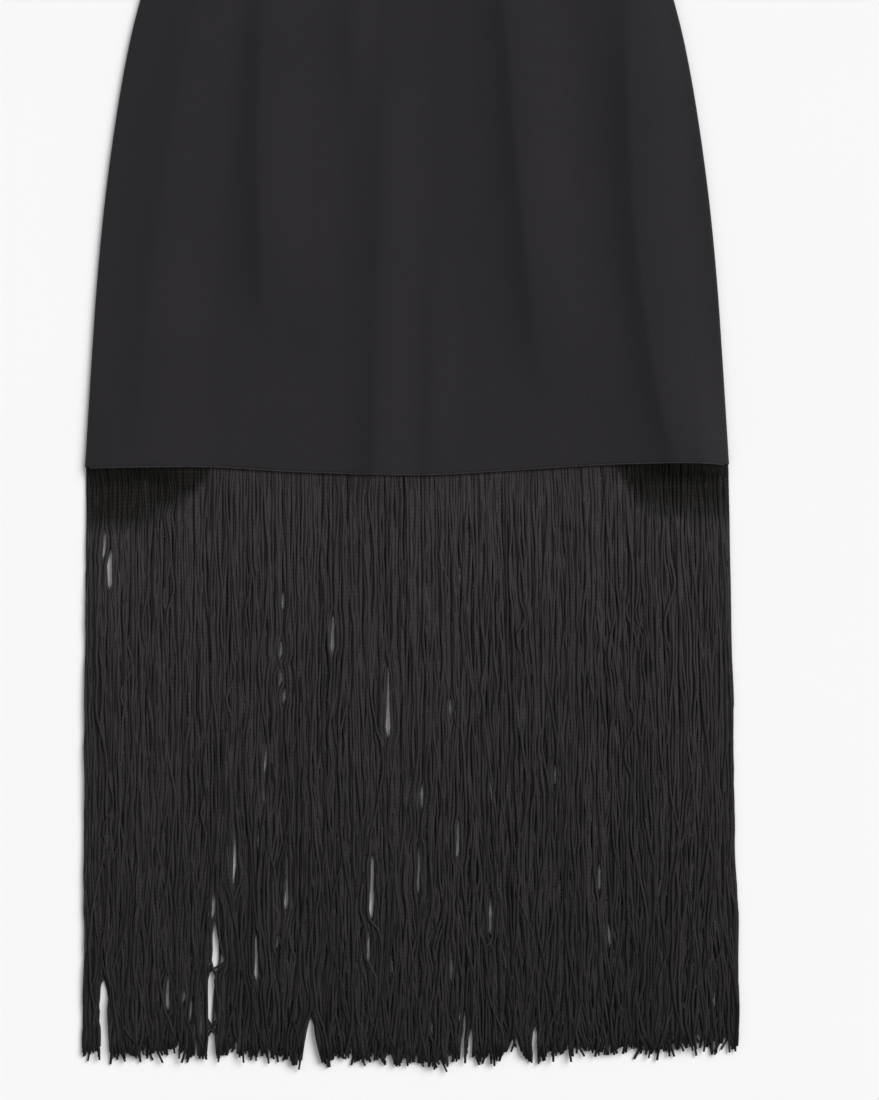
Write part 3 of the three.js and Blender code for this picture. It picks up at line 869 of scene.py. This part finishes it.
def outline(side, limit, drop):
    """The line that the strands at one side of the fringe stay inside."""
    edge = OUTLINE[side]
    uneven = sum(size * np.sin(drop / long + start) for size, long, start in edge["waves"])
    return side * (limit + edge["spread"] * down_share(drop) + uneven * down_share(drop))


def flow(across, drop, phase):
    """The drift that neighbouring strands share: slow swings, clumps of a few strands, and locks and a fan
    near the tips that differ from layer to layer."""
    down = down_share(drop)
    clumps = bent_waves(CLUMPS, across, drop, phase)
    locks = 0
    for size, wide, long, phases, bend in LOCKS:
        bent = bend * np.sin(drop / LOCK_BEND)
        locks = locks + size * np.sin(across / wide + drop / long + phases * phase + bent)
    fan_start = FAN["start"] + FAN["differs"] * np.sin(FAN["phases"] * phase)
    fan = FAN["size"] * np.sin(across / FAN["wide"] + fan_start)
    grown = np.clip((drop - FAN_GROWTH["from"]) / FAN_GROWTH["over"], 0, FAN_GROWTH["most"]) ** 2
    swings = waves(SWINGS, across, drop) * mix(SWINGS_AT_HEM, 1, down**SWINGS_GROW)
    return swings + clumps + locks * smooth((down - LOCKS_FROM) / LOCKS_OVER) + fan * grown


def wander(rng, drop, lengths, sizes):
    """Each strand's own wandering: a few waves of random length, size and start."""
    total = np.zeros_like(drop)
    for _ in range(WANDER_WAVES):
        length = rng.uniform(*lengths, (len(drop), 1))
        size = rng.uniform(*sizes, (len(drop), 1))
        total += size * np.sin(2 * np.pi * drop / length + rng.uniform(0, 2 * np.pi, (len(drop), 1)))
    return total


def loop(drop, start, span):
    """The course of one loose loop out to one side and the other, as a share of its swing."""
    along = np.clip((drop - start) / span, 0, 1)
    return np.sin(2 * np.pi * along) * np.sin(np.pi * along)


def kink(rng, roots, drop):
    """The loops of the strands that bend out of line, where the table says and a few at random."""
    total = np.zeros_like(drop)
    for place in KINKS:
        chosen = (np.abs(roots - place["at"]) < place["reach"]) * rng.uniform(*KINK_SHARES, roots.shape)
        total += chosen * place["swing"] * loop(drop, place["from"], place["to"] - place["from"])
    start = rng.uniform(*LOOSE_FROM, roots.shape)
    span = rng.uniform(*LOOSE_SPAN, roots.shape)
    swing = rng.normal(0, LOOSE_SWING, roots.shape) * (rng.random(roots.shape) < LOOSE_STRANDS)
    return total + swing * loop(drop, start, span)


def pit_shade(roots, drop):
    """How fully each point is in the shadow under an end of the hem."""
    length = 0
    for pit in PITS:
        share = (pit["end"] * roots / HALF_HEM - pit["from"]) / (pit["whole"] - pit["from"])
        length = np.maximum(length, pit["length"] * np.clip(share, 0, 1) ** PIT_CURVE)
    return 1 - smooth((drop - PIT_CORE * length) / ((1 - PIT_CORE) * length + 1))


def strand_roots(rng, count):
    """The places across where a layer's strands leave their header."""
    spacing = 2 * ROOT_REACH / (count - 1)
    roots = np.linspace(-ROOT_REACH, ROOT_REACH, count)
    roots = roots + rng.uniform(-ROOT_SPREAD, ROOT_SPREAD, count) * spacing
    return np.clip(roots, -ROOT_REACH, ROOT_REACH)[:, None]


def strand_lengths(rng, roots, phase):
    """How far each strand reaches below the hem: by chance, and in uneven steps across the fringe."""
    right_end = smooth((roots / HALF_HEM - RIGHT_END["from"]) / RIGHT_END["over"])
    return (
        STRAND_LENGTH
        + np.clip(rng.normal(0, LENGTH_SPREAD, roots.shape), *LENGTH_LIMITS)
        + bent_waves(LENGTH_WAVES, roots, 0, phase)
        - RIGHT_END["shorter"] * right_end
    )


def strand_drops(length):
    """The drops of each strand's points: the same few at the hem, then even steps to its end."""
    hem = np.broadcast_to(np.array(HEM_STATIONS, float), (len(length), len(HEM_STATIONS)))
    steps = np.linspace(0, 1, STRAND_BENDS + 1)[1:]
    return np.concatenate([hem, HEM_STATIONS[-1] + (length - HEM_STATIONS[-1]) * steps], 1)


def strand_courses(rng, roots, length, drop, stray, phase):
    """Where each strand runs across the fringe, and how far it bends out of line."""
    wisp = (rng.random(roots.shape) < WISPS) * 1.0
    wide, middling, fine = [
        wander(rng, drop, kind["lengths"], kind["sizes"])
        * (kind["at_hem"] + kind["gain"] * down_share(drop) ** kind["power"])
        for kind in WANDERS
    ]
    wide = wide * (1 + STRAY_MORE * stray)
    flare = rng.normal(0, FLARE, roots.shape) * np.clip(drop - FLARE_FROM, 0, FLARE_OVER)
    hook = rng.normal(0, HOOK, roots.shape) * np.clip((drop - length) / HOOK_LENGTH + 1, 0, 1) ** 2
    calm = mix(SIDE_CALM, 1, smooth((ROOT_REACH - np.abs(roots)) / CALM_REACH))
    bent = kink(rng, roots, drop)
    moved = (flow(roots, drop, phase) + wide) * calm + middling + fine + bent
    across = roots + lean(roots, drop) + moved * smooth(drop / FREE_BY) + flare + hook
    limit = HALF_HEM - STRAND_RADIUS - rng.uniform(0, OUTLINE_BLUR, roots.shape)
    across = np.clip(across, outline(-1, limit, drop), outline(1, limit, drop))
    ragged = 1 + np.abs(rng.normal(0, RAGGED, roots.shape))
    return part_strands(across, drop, wisp, ragged), bent


def strand_heights(rng, roots, drop, stray, bent, layer):
    """How high each strand lies: from its place at the hem it settles on the pile, and under the ends of
    the hem it sinks into the shadow there."""
    corner = corner_share(roots, 0)
    settled = smooth(drop / mix(SETTLED_BY, SETTLED_AT_CORNERS, corner))
    flattened = mix(SIDE_HEIGHT, 1, smooth((ROOT_REACH - np.abs(roots)) / SIDE_REACH))
    pile = (
        STRAND_RADIUS + (layer["lies"] - STRAND_RADIUS) * flattened
        + waves(PILE_SWELL, roots, drop)
        + bent_waves(PILE_RIDGES, roots, drop, layer["phase"])
        + wander(rng, drop, **PILE_WANDER) * smooth(drop / FREE_BY)
    )
    pit = PIT_SINKS * (layer["lies"] - 1) * pit_shade(roots, drop) * corner
    lifted = STRAY_LIFT * stray + np.minimum(KINK_LIFT * np.abs(bent), MOST_KINK_LIFT)
    lies = np.maximum(pile - pit, STRAND_RADIUS + PILE_GAP) + lifted
    return mix(layer["hem"](roots), lies, settled)


def strand_tones(rng, roots, drop, layer):
    """How light each strand is along its length, with painted light on the lower layers and painted shade
    under the hem.
    """
    # painted shade in the grooves just under the hem
    hem_shaded = (0.5 + bent_waves(HEM_SHADE_WAVES, roots, drop, 0)) * (1 - smooth(drop / HEM_SHADE_DROP))
    tone = (
        TONE["top"]
        # painted light: lower layers lighter, to offset the shade they lie in
        + TONE["depth"] * (FRONT_TOP - layer["lies"])
        + rng.normal(0, TONE["chance"], roots.shape)
        + bent_waves(STREAKS, roots, drop, layer["phase"])
        - TONE["tips"] * down_share(drop) ** TONE["power"]
        - TONE["painted_hem_shade"] * hem_shaded
    )
    # painted shadow under the ends of the hem
    darkness = np.interp(layer["lies"], PIT_DARKNESS["lies"], PIT_DARKNESS["share"])
    return np.clip(tone * (1 - darkness * pit_shade(roots, drop)), 0, 1)


def strand_lines(rng, layer):
    """The centre lines of one layer of strands, their radii, and how light each is along its length."""
    roots = strand_roots(rng, layer["strands"])
    length = strand_lengths(rng, roots, layer["phase"])
    drop = strand_drops(length)
    stray = (rng.random(roots.shape) < layer["strays"]) * 1.0
    across, bent = strand_courses(rng, roots, length, drop, stray, layer["phase"])
    height = strand_heights(rng, roots, drop, stray, bent, layer)
    hem = hem_rise(np.clip(roots / HALF_HEM, -1, 1))
    lines = np.stack([across, hem - drop, height], -1)
    radii = STRAND_RADIUS * rng.uniform(*RADIUS_RANGE, roots.shape) * np.ones_like(drop)
    radii[:, -1] *= TIP_RADIUS
    return lines, radii, strand_tones(rng, roots, drop, layer)


# How far up from its edge the cloth's height is taken for the strands under it, and their gap to it.
HEM_EDGE = 2.0
TAPE_GAP = 0.3


def front_hem(depth):
    """The height at which a layer of front strands leaves the tape, under the front hem."""
    return lambda across: front_height(across, HEM_EDGE) - HEM_CLOTH - TAPE_GAP - STRAND_RADIUS - depth


def back_hem(across):
    return np.full_like(across, HEM_CLOTH + TAPE_GAP + STRAND_RADIUS)


def make_fringe(seed, layer):
    lines, radii, tone = strand_lines(np.random.default_rng(seed), layer)
    points, quads, uv = tubes(lines, radii, STRAND_FLATNESS)
    piece = mesh_object(layer["name"], points, quads, cord, uv, np.repeat(tone.ravel(), TUBE_SIDES))
    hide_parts(layer["node"])
    return piece


# The layers of strands from the surface up: the node that each stands for, how many strands, how high they
# lie, where they leave the hem, the share of them that stray, and the start of their waves.
FRINGE_LAYERS = rows(
    "name node strands lies hem strays phase",
    ("back_fringe_lower", "fringe_back", 214, 1.2, back_hem, 0.05, 0.3),
    ("back_fringe_upper", "fringe_back", 200, 1.9, back_hem, 0.05, 1.4),
    ("front_fringe_lower", "fringe_front", 218, 2.7, front_hem(1.0), 0.05, 2.6),
    ("front_fringe_middle", "fringe_front", 222, 3.5, front_hem(0.5), 0.06, 3.9),
    ("front_fringe_upper", "fringe_front", 276, 4.2, front_hem(0.2), 0.08, 5.0),
    ("front_fringe_top", "fringe_front", 186, FRONT_TOP, front_hem(0.0), 0.1, 0.9),
)
FIRST_SEED = 11
fringes = {"fringe_back": [], "fringe_front": []}
for seed, layer in enumerate(FRINGE_LAYERS, FIRST_SEED):
    fringes[layer["node"]].append(make_fringe(seed, layer))


# The header's chain stitch: its pitch, the step between its points, how far its threads swing down the
# skirt and in height, their radius, how far inside the sides they end, how far they are above the underside
# of the front hem, and how far under the middle of the back strands.
STITCH_PITCH = 1.9
STITCH_STEP = 0.45
STITCH_SWAY = 0.55
STITCH_RISE = 0.35
STITCH_RADIUS = 0.38
STITCH_INSET = 4
FRONT_STITCH_ABOVE = 0.55
BACK_STITCH_UNDER = 0.6


def header_row(name, node, height, below):
    """The chain stitch that heads the strands, just below the edge of the hem."""
    reach = HALF_HEM - STITCH_INSET
    across = np.arange(-reach, reach, STITCH_STEP)
    turn = 2 * np.pi * across / STITCH_PITCH
    middle = hem_rise(across / HALF_HEM) - below
    lines = np.stack([
        np.stack([
            across,
            middle - STITCH_SWAY * np.sin(turn + phase),
            height(across) + STITCH_RISE * np.cos(turn + phase),
        ], -1)
        for phase in (0, np.pi)
    ])
    points, quads, uv = tubes(lines, np.full(lines.shape[:2], STITCH_RADIUS))
    piece = mesh_object(name, points, quads, cord, uv, np.full(len(points), 1.0))
    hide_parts(node)
    return piece


def front_stitch(across):
    return front_height(across, HEM_EDGE) - HEM_CLOTH + FRONT_STITCH_ABOVE


def back_stitch(across):
    return back_hem(across) - BACK_STITCH_UNDER


front_header = header_row("front_header", "fringe_front", front_stitch, below=0.55)
back_header = header_row("back_header", "fringe_back", back_stitch, below=0.8)

declare_cloth(0, PANEL_TOP)
declare_cloth(0, PANEL_TOP)
declare_cloth(band_foot, CLOTH_LENGTH)
declare_cloth(band_foot, CLOTH_LENGTH)


# Zip

# The coil of teeth: its pitch and the points to a turn, how far inside the side and below the waist edge it
# runs, how far its middle is under the seam and its two rows are from that, the reach and height of their
# loops, and the radius of the wire.
CHAIN_PITCH = 1.25
TURN_POINTS = 6
CHAIN_INSET = 3.15
CHAIN_TOP_EDGE = 2.0
CHAIN_SINK = 0.2
ROW_OFFSET = 0.2
LOOP_REACH = 0.18
LOOP_HEIGHT = 0.22
WIRE_RADIUS = 0.12
# The steps in which a casting's edges are rounded.
ROUNDING_SEGMENTS = 3


def zip_chain():
    """A coil of teeth down the inside of the side seam, as two interlocked rows of small loops."""
    up = np.arange(CLOTH_LENGTH - ZIP_LENGTH, CLOTH_LENGTH - CHAIN_TOP_EDGE, CHAIN_PITCH / TURN_POINTS)
    edge = half_width(up) - CHAIN_INSET
    turn = 2 * np.pi * up / CHAIN_PITCH
    lines = np.stack([
        np.stack([
            edge + LOOP_REACH * np.cos(turn + phase),
            row_height(half_width(up), up),
            SEAM_HEIGHT - CHAIN_SINK + side * ROW_OFFSET + LOOP_HEIGHT * np.sin(turn + phase),
        ], -1)
        for phase, side in ((0, -1), (np.pi, 1))
    ])
    points, quads, uv = tubes(lines, np.full(lines.shape[:2], WIRE_RADIUS))
    piece = mesh_object("zip_coil", points, quads, zip_black, uv, np.full(len(points), 0.5))
    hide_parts("zip_chain")
    return piece


def rounded_copy(name, node, body, bevel):
    """A CAD casting with its edges rounded, standing for the node."""
    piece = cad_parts[node].copy()
    piece.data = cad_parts[node].data.copy()
    piece.name = piece.data.name = name
    for key in list(piece.keys()):
        if key.startswith("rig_"):
            del piece[key]
    piece.parent = None
    bpy.context.scene.collection.objects.link(piece)
    piece.data.materials.clear()
    piece.data.materials.append(enamel)
    modifier = piece.modifiers.new("rounding", "BEVEL")
    modifier.width = bevel * MM
    modifier.segments = ROUNDING_SEGMENTS
    modifier.limit_method = "ANGLE"
    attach(piece, body)
    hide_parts(node)
    return piece


zip_chain()
rounded_copy("slider_casting", "zip_slider", "skirt", bevel=0.2)
rounded_copy("pull_tab", "zip_pull", "pull", bevel=0.18)


# Surroundings, in metres

FLOOR_SIZE = 60.0
FLOOR_DEPTH = 0.0002


def add_floor():
    bpy.ops.mesh.primitive_plane_add(size=FLOOR_SIZE, location=(0, 0, -FLOOR_DEPTH))
    floor = bpy.context.object
    floor.name = "floor"
    floor.data.materials.append(floor_material())


def add_sun(name, place, strength, softness):
    """A distant soft light that shines from place towards the middle of the floor."""
    data = bpy.data.lights.new(name, "SUN")
    data.energy = strength
    data.angle = math.radians(softness)
    lamp = bpy.data.objects.new(name, data)
    lamp.location = place
    lamp.rotation_euler = Vector(place).to_track_quat("Z", "Y").to_euler()
    bpy.context.scene.collection.objects.link(lamp)


def add_world(strength):
    world = bpy.data.worlds.new("studio")
    world.use_nodes = True
    world.node_tree.nodes["Background"].inputs["Color"].default_value = (1, 1, 1, 1)
    world.node_tree.nodes["Background"].inputs["Strength"].default_value = strength
    bpy.context.scene.world = world


def add_camera():
    data = bpy.data.cameras.new("camera")
    data.sensor_fit = "HORIZONTAL"
    data.sensor_width = SENSOR
    data.lens = SENSOR * CAMERA_HEIGHT / VIEW_WIDTH
    camera = bpy.data.objects.new("camera", data)
    camera.location = (MIDDLE_X + CAMERA_ACROSS * MM, HEM_Y + CAMERA_UP * MM, CAMERA_HEIGHT * MM)
    bpy.context.scene.collection.objects.link(camera)
    bpy.context.scene.camera = camera


add_floor()
add_world(strength=0.32)
add_sun("key", place=(1.084, 0.91, 1.414), strength=2.95, softness=40)
add_sun("fill", place=(-1.2, -0.6, 2.6), strength=0.3, softness=60)
add_camera()
bpy.context.scene.view_settings.view_transform = "Standard"
